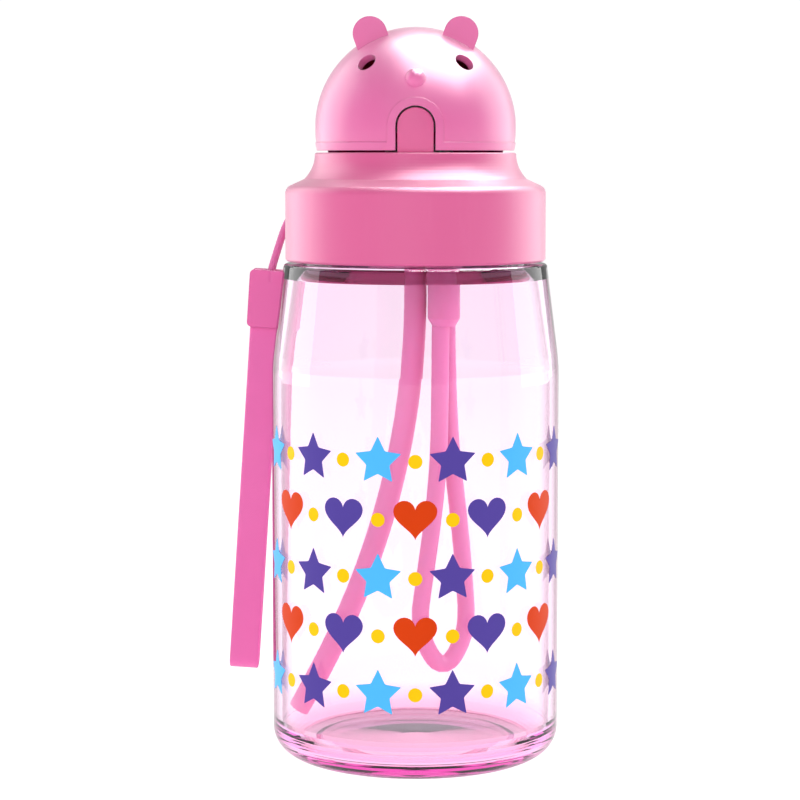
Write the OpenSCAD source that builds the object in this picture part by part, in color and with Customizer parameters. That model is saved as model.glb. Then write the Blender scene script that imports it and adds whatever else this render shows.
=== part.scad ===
// Kids water bottle: a clear bottle with a screw cap, a swing-back dome cover over a folding
// spout, a drinking straw, a looped vent tube and a wrist strap.
// Millimetres. The origin is the centre of the base, +Z is up and the front faces -Y.

/* [Bottle] */
// Radius of the bottle's straight wall
body_r = 36; // [34:0.5:44]
// Height of the straight wall above the table
wall_h = 98.5; // [80:0.5:130]
// Height of the tapered shoulder
shoulder_h = 24; // [18:0.5:32]
// Wall thickness of the bottle
body_wall = 2.2; // [1.8:0.1:2.8]
// Radius of the rounded bottom corner
base_corner_r = 7; // [5:0.5:9]
// Thickness of the floor at the middle
floor_t = 2.4; // [2:0.1:4]
// Height of the hollow under the base
punt_h = 2.6; // [1:0.1:4]

/* [Neck and thread] */
// Outer radius of the neck
neck_r = 28.6; // [27:0.1:29]
// Height of the neck above the shoulder
neck_h = 16.5; // [15:0.5:22]
// Rise of the thread in one turn
thread_lead = 4; // [3:0.5:5]
// Turns that each thread runs
thread_turns = 1.1; // [0.8:0.1:1.5]
// How far each thread stands out of its wall
thread_h = 1.3; // [1:0.1:1.4]
// Thickness of the gasket on the neck
seal_t = 1.2; // [0.8:0.1:2]

/* [Cap] */
// Outer radius of the cap's skirt
cap_r = 32.5; // [32.2:0.1:33.5]
// Radial room between the neck thread and the cap's wall
thread_gap = 0.4; // [0.3:0.05:0.6]
// Gap between the skirt and the bottle's shoulder
skirt_gap = 0.6; // [0.4:0.1:1.5]
// Thickness of the cap's top plate
plate_t = 2.5; // [2:0.1:3.5]
// How far the collar stands out past the dome above it
ring_step = 0.1; // [0:0.05:0.8]
// Height of the collar above the top plate
ring_h = 7.3; // [6:0.1:9]
// Wall thickness of the collar at its rim
ring_wall = 2; // [1.6:0.1:2.4]

/* [Dome cover] */
// Outer radius of the dome
dome_r = 25; // [24.5:0.1:25.5]
// Wall thickness of the dome
dome_wall = 2; // [1.6:0.1:2.4]
// Height of the pivot above the collar
pivot_up = 6.1; // [5.8:0.1:8]
// Gap between the dome's edge and the collar
dome_gap = 0.5; // [0.3:0.1:1]
// Radial gap between the dome and the fixed rear shell
shell_gap = 0.4; // [0.3:0.05:0.6]
// Wall thickness of the rear shell
shell_wall = 1.8; // [1.5:0.1:2.2]
// Radius of an ear
ear_r = 4.2; // [3.5:0.1:5]
// Radius of an eye hole
eye_r = 2.45; // [2:0.05:3]
// Half width of the arch notch
arch_r = 4.8; // [4.4:0.1:5.4]
// Gap between the arch notch and the tongue in it
tongue_gap = 0.45; // [0.3:0.05:0.7]
// Radius of the pivot pins
pin_r = 1.7; // [1.4:0.1:2]

/* [Spout] */
// Outer radius of the spout
spout_r = 4.2; // [3.8:0.1:4.6]
// Length of the spout from its fold
spout_len = 22; // [18:0.5:22]
// Radius of the drinking bore
spout_bore_r = 1.7; // [1.2:0.1:2]
// How far behind the pivot the spout stands
spout_y = 4; // [3:0.1:5]

/* [Straw and vent] */
// Outer radius of the drinking straw
straw_r = 2.85; // [2.5:0.05:3.2]
// Wall thickness of the drinking straw
straw_wall = 1; // [0.8:0.05:1.2]
// Gap between the straw's end and the bottle's wall
straw_side_gap = 3.6; // [3.4:0.1:8]
// Gap between the middle of the straw's end and the floor
straw_floor_gap = 4.5; // [3.5:0.1:12]
// Length of the straight top of the straw
straw_top = 25.5; // [15:0.5:30]
// Gap between the straw and the vent connector beside it
vent_side_gap = 0.25; // [0.2:0.05:2]
// Length of the vent connector
vent_len = 33.5; // [25:0.5:45]
// Outer radius of the vent tube
vent_r = 2.2; // [1.8:0.05:2.3]
// Wall thickness of the vent tube
vent_wall = 0.8; // [0.6:0.05:1]
// Gap between the vent tube's loop and the floor
vent_floor_gap = 14.8; // [4:0.1:60]

/* [Strap] */
// How far behind the middle the strap hangs
strap_y = 20; // [18:0.5:24]
// Width of the strap band
band_w = 7.6; // [6:0.1:9]
// Thickness of one layer of the band
band_t = 1.4; // [1:0.1:2]
// Open gap between the two layers
band_gap = 3.4; // [3:0.1:5]
// Length of the band below the clip
band_len = 89; // [60:1:100]
// Lean of the band away from the bottle, in degrees
band_lean = 3.8; // [2:0.1:6]
// Width of the clip
clip_w = 9.2; // [9:0.1:11]
// Height of the clip
clip_h = 14.8; // [12:0.1:18]
// Gap between the clip and the bottle's side
clip_gap = 0.9; // [0.5:0.1:3]
// Radius of the cord
cord_r = 0.9; // [0.7:0.05:1.2]

/* [Hidden] */
$fn = 96;
eps = 0.01;
seat = 0.02;           // radial gap of pieces that are pushed together
slide = 0.05;          // radial gap of pieces that turn on each other
soft_gap = 0.3;        // clearance round soft pieces

// bottle
shoulder_top_r = cap_r + 0.5;
shoulder_edge = 1;                      // rounding between shoulder and ledge
shoulder_z = wall_h + shoulder_h;
ledge_z = shoulder_z + shoulder_edge;
neck_top = ledge_z + neck_h;
neck_wall = 2.2;
neck_bore_r = neck_r - neck_wall;
cone_deg = atan((body_r - shoulder_top_r) / shoulder_h);
blend_r = 60;                           // blend between the straight wall and the shoulder
blend_len = blend_r * tan(cone_deg / 2);
body_in_r = body_r - body_wall;
floor_z = punt_h + floor_t;
foot_in_r = body_r - base_corner_r - 3.5;

// cap
cap_bore_r = neck_r + thread_h + thread_gap;
skirt_z = ledge_z + skirt_gap;
plate_z = neck_top + seal_t;
plate_top = plate_z + plate_t;
plate_hole_r = 16;
cap_corner_r = 2.2;
flare_w = 2.6;                          // how far the collar flares out at its foot
flare_z = plate_top + 0.8;
ring_top = plate_top + ring_h;
ring_r = dome_r + ring_step;
ring_in_r = ring_r - ring_wall;
thread_z = ledge_z + 6;                 // start of the neck thread

// lid
deck_t = 3.5;
deck_top = ring_top - 0.5;
deck_z = deck_top - deck_t;
deck_r = ring_in_r - 0.2;
flange_t = 2;
flange_z = deck_z - flange_t;
flange_r = 19;
boss_z = plate_z + 0.3;
boss_r = plate_hole_r - 0.3;
pivot_z = ring_top + pivot_up;
dome_low = dome_gap - pivot_up;         // lower edge of the dome, from the pivot
dome_in_r = dome_r - dome_wall;
shell_r = dome_in_r - shell_gap;
shell_in_r = shell_r - shell_wall;
shell_front = -3.6;                     // front edge of the rear shell
arch_mid = 0.3;                         // middle of the arch's round top, from the pivot
rim_w = 2;                              // raised rim round the dome's edge
rim_up = 0.25;
head_r = 2.5;                           // flat head of a pivot pin
head_x = dome_r - 0.9;                  // inner face of that head
boss_in_x = shell_in_r - 2.4;
ear_x = 11.2;
ear_up = dome_r - 2;                    // middle of an ear, from the pivot
ear_y = -6.4;
ear_t = 4;
eye_dir = [12, -15.5, 15.9];            // where the right eye looks
nose_dir = [0, -22, 11.8];
nose_r = 2.5;

// spout
fold_z = pivot_z + 0.4;
stub_top = fold_z - spout_r - soft_gap;
spout_neck_r = 5.4;
spout_foot_r = 7.7;
spout_foot_t = 1.2;
socket_z = deck_z - 1.4;
lip_r = spout_r + 0.7;

// straw and vent
spigot_r = straw_r - straw_wall - 0.1;
straw_z = boss_z - straw_top;                         // where its bend starts
straw_run = body_in_r - straw_side_gap;               // how far its end lies to the left
straw_drop = straw_z - floor_z - straw_floor_gap;
straw_deg = 2 * atan(straw_run / straw_drop);
straw_bend_r = straw_drop / sin(straw_deg);
vent_half_w = 4;
vent_x = straw_r + vent_side_gap + vent_half_w;       // how far to the right the connector stands
vent_leg_dx = 0.8;
vent_leg_y = 2.4;
vent_z = boss_z - vent_len;
vent_chamfer = [1.2, 2];                              // sideways and up
vent_plug = 6.5;                                      // how deep the tube sits in the connector
valve_xy = [vent_x + 0.6, -2.4];
// Middle of the vent tube, from the middle of the connector's lower end, going down and back up.
// Below the connector it is stretched so that its loop keeps its gap to the floor
vent_shape = [
    [-0.8, -2.4, 6], [-0.8, -2.4, 0], [-0.9, -2.4, -10], [-1, -2.4, -20], [-1.2, -2.4, -30],
    [-1.9, -2.4, -41], [-3, -2.3, -51], [-4.2, -2.1, -60], [-5.3, -1.8, -68], [-5.8, -1.5, -73],
    [-5.3, -1.2, -78], [-3.9, -0.9, -82], [-2, -0.5, -85], [0, 0, -86], [2, 0.5, -85],
    [3.9, 0.9, -82], [5.3, 1.2, -78], [5.8, 1.5, -73], [5.5, 1.8, -67], [4.8, 2.1, -58],
    [3.9, 2.3, -49], [2.9, 2.4, -40], [1.9, 2.4, -30], [1.3, 2.4, -20], [1, 2.4, -10],
    [0.8, 2.4, 0], [0.8, 2.4, 6]
];
vent_drop = vent_z - floor_z - vent_floor_gap - vent_r;
vent_stretch = vent_drop / max([for (p = vent_shape) -p[2]]);
vent_route = [for (p = vent_shape) [p[0], p[1], p[2] > 0 ? p[2] : p[2] * vent_stretch]];

// strap
eye = [-30.4, strap_y, ledge_z + 14.9];               // where the cord passes through the lug
lug_hole_r = 1.7;
lug_r = 3;
lug_t = 2;
lug_up = 0.5;                                         // the lug's hole stands this far above the cord
clip_top = ledge_z - 2.6;
clip_mid_x = -(body_r + clip_gap + 1);                // middle of the clip
clip_d = 2 * band_t + band_gap + 2.4;                 // its depth, front to back
clip_wall = 1.1;
band_in = 9;                                          // how deep the band sits in the clip
band_mid_y = (band_gap + band_t) / 2;
// The cord's loop: from the clip, over the lug and back. Its ends follow the clip, its top the lug
cord_ends = [[0.6, -3, -3], [0.8, -3, 0], [1.6, -2.9, 3]];
cord_loop = [[-3.4, -2.8, -7], [-1.2, -2.6, -2.5], [-0.2, -2, 0], [0, 0, 0.5]];
back = [1, -1, 1];                                    // the loop's rear half mirrors its front

// ---- helpers ----

function arc(mid, r, from, to, steps = 8) =
    [for (i = [0:steps]) let (a = from + (to - from) * i / steps) mid + r * [cos(a), sin(a)]];

function unit(v) = v / norm(v);

function flip(v, by) = [for (i = [0:2]) v[i] * by[i]];

function reversed(list) = [for (i = [len(list) - 1:-1:0]) list[i]];

// Direction of a path at its point i
function along(path, i) =
    unit(path[min(i + 1, len(path) - 1)] - path[max(i - 1, 0)]);

// Ring of points round a path's point, with side_dir as its steady side
function path_ring(path, i, r, sides, side_dir) =
    let (t = along(path, i), u = unit(cross(side_dir, t)), v = cross(t, u))
    [for (k = [0:sides - 1]) let (a = 360 * k / sides) path[i] + r * (cos(a) * u + sin(a) * v)];

// Solid rod swept along a path
module rod_along(path, r, sides, side_dir) {
    n = len(path);
    last = (n - 1) * sides;
    points = [for (i = [0:n - 1]) each path_ring(path, i, r, sides, side_dir)];
    walls = [for (i = [0:n - 2], k = [0:sides - 1]) let (a = i * sides + k, b = i * sides + (k + 1) % sides)
        [a, b, b + sides, a + sides]];
    ends = [reversed([for (k = [0:sides - 1]) k]), [for (k = [0:sides - 1]) last + k]];
    polyhedron(points, [for (f = concat(walls, ends)) reversed(f)], convexity = 6);
}

// Hollow tube swept along a path
module tube_along(path, r, r_in, sides, side_dir) {
    n = len(path);
    inner = n * sides;
    last = (n - 1) * sides;
    points = concat(
        [for (i = [0:n - 1]) each path_ring(path, i, r, sides, side_dir)],
        [for (i = [0:n - 1]) each path_ring(path, i, r_in, sides, side_dir)]);
    outside = [for (i = [0:n - 2], k = [0:sides - 1]) let (a = i * sides + k, b = i * sides + (k + 1) % sides)
        [a, a + sides, b + sides, b]];
    inside = [for (f = outside) [inner + f[3], inner + f[2], inner + f[1], inner + f[0]]];
    lids = [for (k = [0:sides - 1]) let (b = (k + 1) % sides) each [
        [k, b, inner + b, inner + k],
        [last + b, last + k, inner + last + k, inner + last + b]]];
    polyhedron(points, concat(outside, inside, lids), convexity = 8);
}

// One helical thread: root_r is the wall it stands on, crest_r its crest
module thread(root_r, crest_r, start_z, start_deg) {
    root_half = 0.9;
    crest_half = 0.4;
    steps = ceil(thread_turns * 30);
    sink = crest_r > root_r ? -0.4 : 0.4;
    profile = [[root_r + sink, -root_half], [crest_r, -crest_half], [crest_r, crest_half],
        [root_r + sink, root_half]];
    points = [for (i = [0:steps]) let (turn = thread_turns * i / steps) each [for (p = profile)
        [p[0] * cos(start_deg + 360 * turn), p[0] * sin(start_deg + 360 * turn),
            start_z + thread_lead * turn + p[1]]]];
    walls = [for (i = [0:steps - 1], k = [0:3]) let (a = 4 * i + k, b = 4 * i + (k + 1) % 4)
        each [[a, a + 4, b], [b, a + 4, b + 4]]];
    last = 4 * steps;
    faces = concat(walls, [[0, 1, 2, 3], [last + 3, last + 2, last + 1, last]]);
    inward = crest_r < root_r;
    polyhedron(points, inward ? faces : [for (f = faces) reversed(f)], convexity = 6);
}

module ring(r_out, r_in, z0, z1) {
    translate([0, 0, z0]) difference() {
        cylinder(r = r_out, h = z1 - z0);
        translate([0, 0, -1]) cylinder(r = r_in, h = z1 - z0 + 2);
    }
}

module bore(x, y, r, z0, z1) {
    translate([x, y, z0]) cylinder(r = r, h = z1 - z0);
}

// A cylinder from the dome's centre outward along a direction
module spoke(dir, r, from, to) {
    d = unit(dir);
    rotate([0, acos(d[2]), atan2(d[1], d[0])]) translate([0, 0, from]) cylinder(r = r, h = to - from);
}

// ---- bottle ----

function body_outline() = concat(
    [[0, punt_h], [foot_in_r - 1.5, 0.9], [foot_in_r, 0]],
    arc([body_r - base_corner_r, base_corner_r], base_corner_r, -90, 0, 10),
    arc([body_r - blend_r, wall_h - blend_len], blend_r, 0, cone_deg, 5),
    arc([shoulder_top_r - shoulder_edge, shoulder_z], shoulder_edge, cone_deg, 90, 5),
    [[neck_r, ledge_z], [neck_r, neck_top - 0.4], [neck_r - 0.4, neck_top],
        [neck_bore_r + 0.4, neck_top], [neck_bore_r, neck_top - 0.4], [neck_bore_r, ledge_z + 0.6]],
    [[shoulder_top_r - body_wall - 0.2, ledge_z - body_wall - 1.8]],
    [[body_in_r, wall_h - 1]],
    arc([body_in_r - base_corner_r + 1, floor_z - 1 + base_corner_r - 1], base_corner_r - 1, 0, -90, 8),
    [[0, floor_z]]);

module bottle_body() {
    color([0.98, 0.86, 0.95, 0.4]) {
        rotate_extrude() polygon(body_outline());
        thread(neck_r, neck_r + thread_h, thread_z, 0);
    }
}

// ---- cap ----

function collar_outline(steps = 8) =
    [for (i = [0:steps]) let (t = i / steps)
        [ring_r + flare_w * pow(1 - t, 2.2), flare_z + (ring_top - 0.3 - flare_z) * t]];

function cap_outline() = concat(
    [[cap_r - 0.5, skirt_z], [cap_r, skirt_z + 0.5]],
    arc([cap_r - cap_corner_r, plate_top - 0.6 - cap_corner_r], cap_corner_r, 0, 72, 6),
    collar_outline(),
    [[ring_r - 0.4, ring_top], [ring_in_r + 0.3, ring_top], [ring_in_r, ring_top - 0.3],
        [ring_in_r, plate_top], [plate_hole_r, plate_top], [plate_hole_r, plate_z],
        [cap_bore_r, plate_z], [cap_bore_r, skirt_z + 0.4], [cap_bore_r + 0.4, skirt_z]]);

// Arch shape seen from the front, standing on the dome's lower edge
module arch_block(half_w, low) {
    rotate([90, 0, 0]) linear_extrude(height = 30) {
        translate([0, arch_mid]) circle(r = half_w);
        translate([-half_w, low]) square([2 * half_w, arch_mid - low]);
    }
}

module tongue() {
    translate([0, 0, pivot_z]) intersection() {
        difference() {
            sphere(r = dome_r - 0.4);
            sphere(r = dome_in_r);
        }
        arch_block(arch_r - tongue_gap, deck_top + 0.3 - pivot_z);
    }
}

module strap_lug() {
    translate(eye + [0, lug_t / 2, lug_up]) rotate([90, 0, 0]) difference() {
        union() {
            cylinder(r = lug_r, h = lug_t);
            translate([0, -lug_r, 0]) cube([6.2, 2 * lug_r - 1, lug_t]);
        }
        translate([0, 0, -1]) cylinder(r = lug_hole_r, h = lug_t + 2);
    }
}

module screw_cap() {
    color([0.9, 0.45, 0.68]) {
        rotate_extrude() polygon(cap_outline());
        thread(cap_bore_r, cap_bore_r - thread_h, thread_z - thread_lead / 2, 0);
        tongue();
        strap_lug();
    }
}

module cap_seal() {
    color([0.96, 0.94, 0.95]) ring(cap_bore_r - soft_gap, neck_bore_r + 0.2, neck_top, plate_z);
}

// ---- lid ----

module pivot_boss(side) {
    rotate([0, side * 90, 0]) translate([0, 0, boss_in_x]) cylinder(r = 2 * pin_r, h = shell_in_r + 1 - boss_in_x);
}

module lid_deck() {
    color([0.93, 0.6, 0.77]) difference() {
        union() {
            translate([0, 0, deck_z]) cylinder(r = deck_r, h = deck_t);
            ring(deck_r, deck_r - 2, plate_top, deck_z + eps);
            translate([0, 0, pivot_z]) {
                intersection() {
                    difference() {
                        sphere(r = shell_r);
                        sphere(r = shell_in_r);
                    }
                    translate([-30, shell_front, deck_top - 0.2 - pivot_z]) cube([60, 30, 40]);
                }
                for (side = [-1, 1]) pivot_boss(side);
            }
        }
        bore(0, spout_y, spout_neck_r + 0.1, deck_z - 1, deck_top + 1);
        bore(valve_xy[0], valve_xy[1], 1.1, deck_z - 1, deck_top + 1);
        for (side = [-1, 1]) translate([0, 0, pivot_z]) rotate([0, side * 90, 0])
            translate([0, 0, boss_in_x - 1]) cylinder(r = pin_r + seat, h = 12);
    }
}

module adapter_seal() {
    color([0.96, 0.94, 0.95]) ring(flange_r - 0.5, plate_hole_r + 0.4, plate_top, flange_z);
}

module straw_adapter() {
    color([0.91, 0.5, 0.71]) difference() {
        union() {
            translate([0, 0, flange_z]) cylinder(r = flange_r, h = flange_t);
            translate([0, 0, boss_z]) cylinder(r = boss_r, h = flange_z - boss_z + eps);
            bore(0, spout_y, spigot_r, boss_z - 10, boss_z + eps);
            bore(vent_x, 0, 1.9, boss_z - 6, boss_z + eps);
        }
        bore(0, spout_y, spout_neck_r + 0.1, socket_z, deck_z + 1);
        bore(0, spout_y, spigot_r - 0.6, boss_z - 11, deck_z);
        bore(vent_x, 0, 1, boss_z - 7, deck_z - 1);
        bore(valve_xy[0], valve_xy[1] / 2, 1.9, deck_z - 1, deck_z + 1);
    }
}

module drinking_straw() {
    steps = 14;
    bend = [for (i = [0:steps]) let (turn = straw_deg * i / steps)
        [straw_bend_r * (cos(turn) - 1), 0, straw_z - straw_bend_r * sin(turn)]];
    color([0.88, 0.48, 0.68]) translate([0, spout_y, 0])
        tube_along(concat([[0, 0, boss_z]], bend), straw_r, straw_r - straw_wall, 14, [0, 1, 0]);
}

// Upright block with two round ends; cut leaves room for a chamfer
module vent_block(half_w, half_gap, z0, z1) {
    for (side = [-1, 1]) bore(0, side * half_gap, half_w, z0, z1);
    translate([-half_w, -half_gap, z0]) cube([2 * half_w, 2 * half_gap, z1 - z0]);
}

module vent_foot(half_w, half_gap, z0, cut) {
    for (side = [-1, 1]) translate([0, side * half_gap, z0]) cylinder(r1 = half_w - cut[0], r2 = half_w, h = cut[1]);
    translate([0, half_gap, z0]) rotate([90, 0, 0]) linear_extrude(height = 2 * half_gap)
        polygon([[cut[0] - half_w, 0], [half_w - cut[0], 0], [half_w, cut[1]], [-half_w, cut[1]]]);
}

module vent_connector() {
    color([0.89, 0.5, 0.7]) translate([vent_x, 0, 0]) difference() {
        union() {
            vent_block(vent_half_w, vent_leg_y, vent_z + vent_chamfer[1] - eps, boss_z);
            vent_foot(vent_half_w, vent_leg_y, vent_z, vent_chamfer);
        }
        bore(0, 0, 1.9 + seat, boss_z - 7, boss_z + 1);
        for (side = [-1, 1])
            bore(side * vent_leg_dx, side * vent_leg_y, vent_r + seat, vent_z - 1, vent_z + vent_plug + 4);
        bore(-0.4, -1.4, 1.1, vent_z + vent_plug + 2, boss_z - 6);
        translate([vent_leg_dx, vent_leg_y, vent_z + vent_plug + 2]) rotate([-90, 0, 0]) cylinder(r = 1.1, h = 10);
    }
}

module vent_loop() {
    color([0.88, 0.48, 0.68])
        tube_along([for (p = vent_route) p + [vent_x, 0, vent_z]], vent_r, vent_r - vent_wall, 10, [0, 1, 0.02]);
}

module vent_valve() {
    color([0.97, 0.95, 0.96]) translate([valve_xy[0], valve_xy[1], 0]) {
        bore(0, 0, 1.05, deck_z, deck_top + 0.3);
        translate([0, 0, deck_top]) cylinder(r1 = 2.1, r2 = 1.5, h = 1);
    }
}

module spout_base() {
    color([0.97, 0.93, 0.95]) translate([0, spout_y, 0]) difference() {
        union() {
            bore(0, 0, spout_neck_r, socket_z, deck_top + eps);
            bore(0, 0, spout_foot_r, deck_top, deck_top + spout_foot_t);
            translate([0, 0, deck_top + spout_foot_t - eps])
                cylinder(r1 = spout_r + 1.4, r2 = spout_r + 0.5, h = stub_top - deck_top - spout_foot_t + eps);
        }
        bore(0, 0, spout_bore_r, socket_z - 1, stub_top + 1);
    }
}

module spout_tip() {
    color([0.97, 0.93, 0.95]) translate([0, spout_y, fold_z]) difference() {
        rotate([90, 0, 0]) union() {
            sphere(r = spout_r);
            cylinder(r1 = spout_r, r2 = spout_r - 0.4, h = spout_len - 3);
            translate([0, 0, spout_len - 4]) cylinder(r1 = spout_r - 0.4, r2 = lip_r, h = 1.6);
            translate([0, 0, spout_len - 2.4 - eps]) cylinder(r = lip_r, h = 1.2 + eps);
            translate([0, 0, spout_len - 1.2 - eps]) cylinder(r1 = lip_r, r2 = lip_r - 1.2, h = 1.2 + eps);
        }
        rotate([90, 0, 0]) cylinder(r = spout_bore_r, h = spout_len + 1);
        translate([0, 0, -spout_r - 1]) cylinder(r = spout_bore_r, h = spout_r + 1);
    }
}

// ---- dome ----

module ear(side) {
    translate([side * ear_x, ear_y + ear_t / 2, ear_up]) rotate([90, side * 20, 0]) {
        cylinder(r = ear_r, h = ear_t);
        translate([-ear_r, -1.2 * ear_r, 0]) cube([2 * ear_r, 1.2 * ear_r, ear_t]);
    }
}

module dome_rim() {
    intersection() {
        sphere(r = dome_r + rim_up);
        union() {
            translate([-30, -30, dome_low]) cube([60, 60, rim_w]);
            arch_block(arch_r + rim_w, dome_low);
        }
    }
}

// The corner below and behind the pivot, cut back to a circle so that it clears the collar as it turns
module dome_heel() {
    difference() {
        translate([-40, 0, -40]) cube([80, 40, 40]);
        rotate([0, 90, 0]) cylinder(r = -dome_low, h = 90, center = true);
    }
}

module dome_cover() {
    color([0.93, 0.56, 0.76]) translate([0, 0, pivot_z]) difference() {
        union() {
            sphere(r = dome_r);
            dome_rim();
            for (side = [-1, 1]) ear(side);
            rotate([0, acos(unit(nose_dir)[2]), atan2(nose_dir[1], nose_dir[0])])
                translate([0, 0, dome_r - 0.6]) sphere(r = nose_r);
        }
        sphere(r = dome_in_r);
        translate([-40, -dome_low, -40]) cube(80);
        translate([-40, -40, dome_low - 80]) cube(80);
        dome_heel();
        arch_block(arch_r, dome_low - 5);
        for (side = [-1, 1]) {
            spoke([side * eye_dir[0], eye_dir[1], eye_dir[2]], eye_r, dome_in_r - 3, dome_r + 2);
            rotate([0, side * 90, 0]) {
                cylinder(r = pin_r + slide, h = 30);
                translate([0, 0, head_x]) cylinder(r = head_r + 2 * slide, h = 5);
            }
        }
    }
}

module pivot_pin(side) {
    color([0.8, 0.32, 0.56]) translate([0, 0, pivot_z]) rotate([0, side * 90, 0]) {
        translate([0, 0, boss_in_x]) cylinder(r = pin_r, h = head_x + slide - boss_in_x + eps);
        translate([0, 0, head_x + slide]) cylinder(r = head_r, h = 0.6);
    }
}

module pivot_pin_left() { pivot_pin(-1); }

module pivot_pin_right() { pivot_pin(1); }

// ---- strap ----

function clip_origin() = [clip_mid_x, strap_y, clip_top];

function cord_front() = concat(
    [for (p = cord_ends) clip_origin() + p],
    [for (p = cord_loop) eye + p]);

function cord_route() =
    let (front = cord_front(), mid = [0, 2 * strap_y, 0])
    concat(front, [for (i = [len(front) - 2:-1:0]) mid + flip(front[i], back)]);

module strap_cord() {
    color([0.88, 0.5, 0.7]) rod_along(cord_route(), cord_r, 8, [1, 0, 0.2]);
}

// Places a piece in the clip's own frame: origin at the middle of its top, Z along the band
module in_clip() {
    translate(clip_origin()) rotate([0, band_lean, 0]) children();
}

module clip_outline(cut) {
    edge = 1.2;
    hull() for (x = [cut + edge - clip_w / 2, clip_w / 2 - edge - cut], z = [-clip_h + edge + cut, -edge - cut])
        translate([x, z]) circle(r = edge, $fn = 24);
}

// side is -1 for the front half and 1 for the back half
module clip_half(side) {
    color([0.89, 0.42, 0.67]) in_clip() difference() {
        translate([0, side < 0 ? 0 : clip_d / 2, 0]) rotate([90, 0, 0])
            linear_extrude(height = clip_d / 2) clip_outline(0);
        translate([0, side * band_mid_y, -clip_h / 2]) cube([band_w + 0.4, band_t + 0.4, 30], center = true);
        rotate([0, -band_lean, 0]) translate([0.7, side * 3, -3.1]) cylinder(r = cord_r + soft_gap, h = 6);
        translate([0, 0, -clip_h + 5]) rotate([90, 0, 0]) cylinder(r = 0.8 + seat, h = clip_d - 2 * clip_wall, center = true);
    }
}

module strap_clip_front() { clip_half(-1); }

module strap_clip_back() { clip_half(1); }

module clip_pin() {
    color([0.85, 0.85, 0.87]) in_clip() translate([0, 0, -clip_h + 5]) rotate([90, 0, 0])
        cylinder(r = 0.8, h = clip_d - 2 * clip_wall - 0.2, center = true);
}

module band_outline() {
    turn_r = band_mid_y + band_t / 2;
    low = -clip_h - band_len + turn_r;
    difference() {
        union() {
            translate([0, low]) circle(r = turn_r);
            translate([-turn_r, low]) square([2 * turn_r, -clip_h + band_in - low]);
        }
        translate([0, low]) circle(r = turn_r - band_t);
        translate([band_t - turn_r, low]) square([2 * (turn_r - band_t), 200]);
    }
}

module strap_band() {
    color([0.91, 0.46, 0.7]) in_clip() difference() {
        translate([-band_w / 2, 0, 0]) rotate([90, 0, 90]) linear_extrude(height = band_w) band_outline();
        translate([0, 0, -clip_h + 5]) rotate([90, 0, 0]) cylinder(r = 0.85, h = 30, center = true);
    }
}

bottle_body();
screw_cap();
cap_seal();
lid_deck();
adapter_seal();
straw_adapter();
drinking_straw();
vent_connector();
vent_loop();
vent_valve();
spout_base();
spout_tip();
dome_cover();
pivot_pin_left();
pivot_pin_right();
strap_cord();
strap_clip_front();
strap_clip_back();
clip_pin();
strap_band();
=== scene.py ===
import math

import bmesh
import bpy
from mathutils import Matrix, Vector


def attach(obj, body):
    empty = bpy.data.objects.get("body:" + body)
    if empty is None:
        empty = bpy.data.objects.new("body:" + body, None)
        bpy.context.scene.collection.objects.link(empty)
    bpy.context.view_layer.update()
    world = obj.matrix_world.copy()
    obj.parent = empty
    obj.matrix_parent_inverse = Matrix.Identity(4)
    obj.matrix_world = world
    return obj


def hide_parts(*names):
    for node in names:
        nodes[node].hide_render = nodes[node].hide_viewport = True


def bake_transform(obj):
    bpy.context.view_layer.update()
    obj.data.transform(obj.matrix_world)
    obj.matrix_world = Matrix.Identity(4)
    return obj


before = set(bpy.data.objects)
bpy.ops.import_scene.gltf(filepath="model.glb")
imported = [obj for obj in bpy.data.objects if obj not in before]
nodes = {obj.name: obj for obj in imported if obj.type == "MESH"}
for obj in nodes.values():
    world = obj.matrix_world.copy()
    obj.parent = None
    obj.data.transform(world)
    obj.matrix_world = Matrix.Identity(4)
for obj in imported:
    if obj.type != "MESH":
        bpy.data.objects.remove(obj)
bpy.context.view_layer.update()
mm = 0.001


# camera, at the height of the cap and looking a little down

camera = {"place": (0.0, -0.594, 0.150), "pitch": -4.5, "turn": 0.372, "lens": 106.9, "shift": -0.0705}


def makeCamera():
    data = bpy.data.cameras.new("bottleCamera")
    data.lens = camera["lens"]
    data.shift_y = camera["shift"]
    data.clip_start = 0.05
    data.clip_end = 50
    obj = bpy.data.objects.new("bottleCamera", data)
    obj.location = camera["place"]
    obj.rotation_euler = (math.radians(90 + camera["pitch"]), 0, math.radians(camera["turn"]))
    bpy.context.scene.collection.objects.link(obj)
    bpy.context.scene.camera = obj


makeCamera()
print("camera set")


# mesh helpers

def smoothPath(points, step):
    # Catmull-Rom through the points, cut to even steps in millimetres
    pts = [Vector(p) for p in points]
    ext = [pts[0] * 2 - pts[1], *pts, pts[-1] * 2 - pts[-2]]
    fine = []
    for i in range(1, len(ext) - 2):
        a, b, c, d = ext[i - 1:i + 3]
        for k in range(16):
            t = k / 16
            fine.append(0.5 * (2 * b + (c - a) * t + (2 * a - 5 * b + 4 * c - d) * t * t
                               + (3 * b - a - 3 * c + d) * t ** 3))
    fine.append(pts[-1])
    return evenPath(fine, step)


def evenPath(points, step):
    pts = [Vector(p) for p in points]
    lengths = [0.0]
    for a, b in zip(pts, pts[1:]):
        lengths.append(lengths[-1] + (b - a).length)
    count = max(2, round(lengths[-1] / step))
    out, k = [], 0
    for i in range(count + 1):
        want = lengths[-1] * i / count
        while k < len(pts) - 2 and lengths[k + 1] < want:
            k += 1
        span = lengths[k + 1] - lengths[k]
        out.append(pts[k].lerp(pts[k + 1], (want - lengths[k]) / span if span else 0))
    return out


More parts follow.
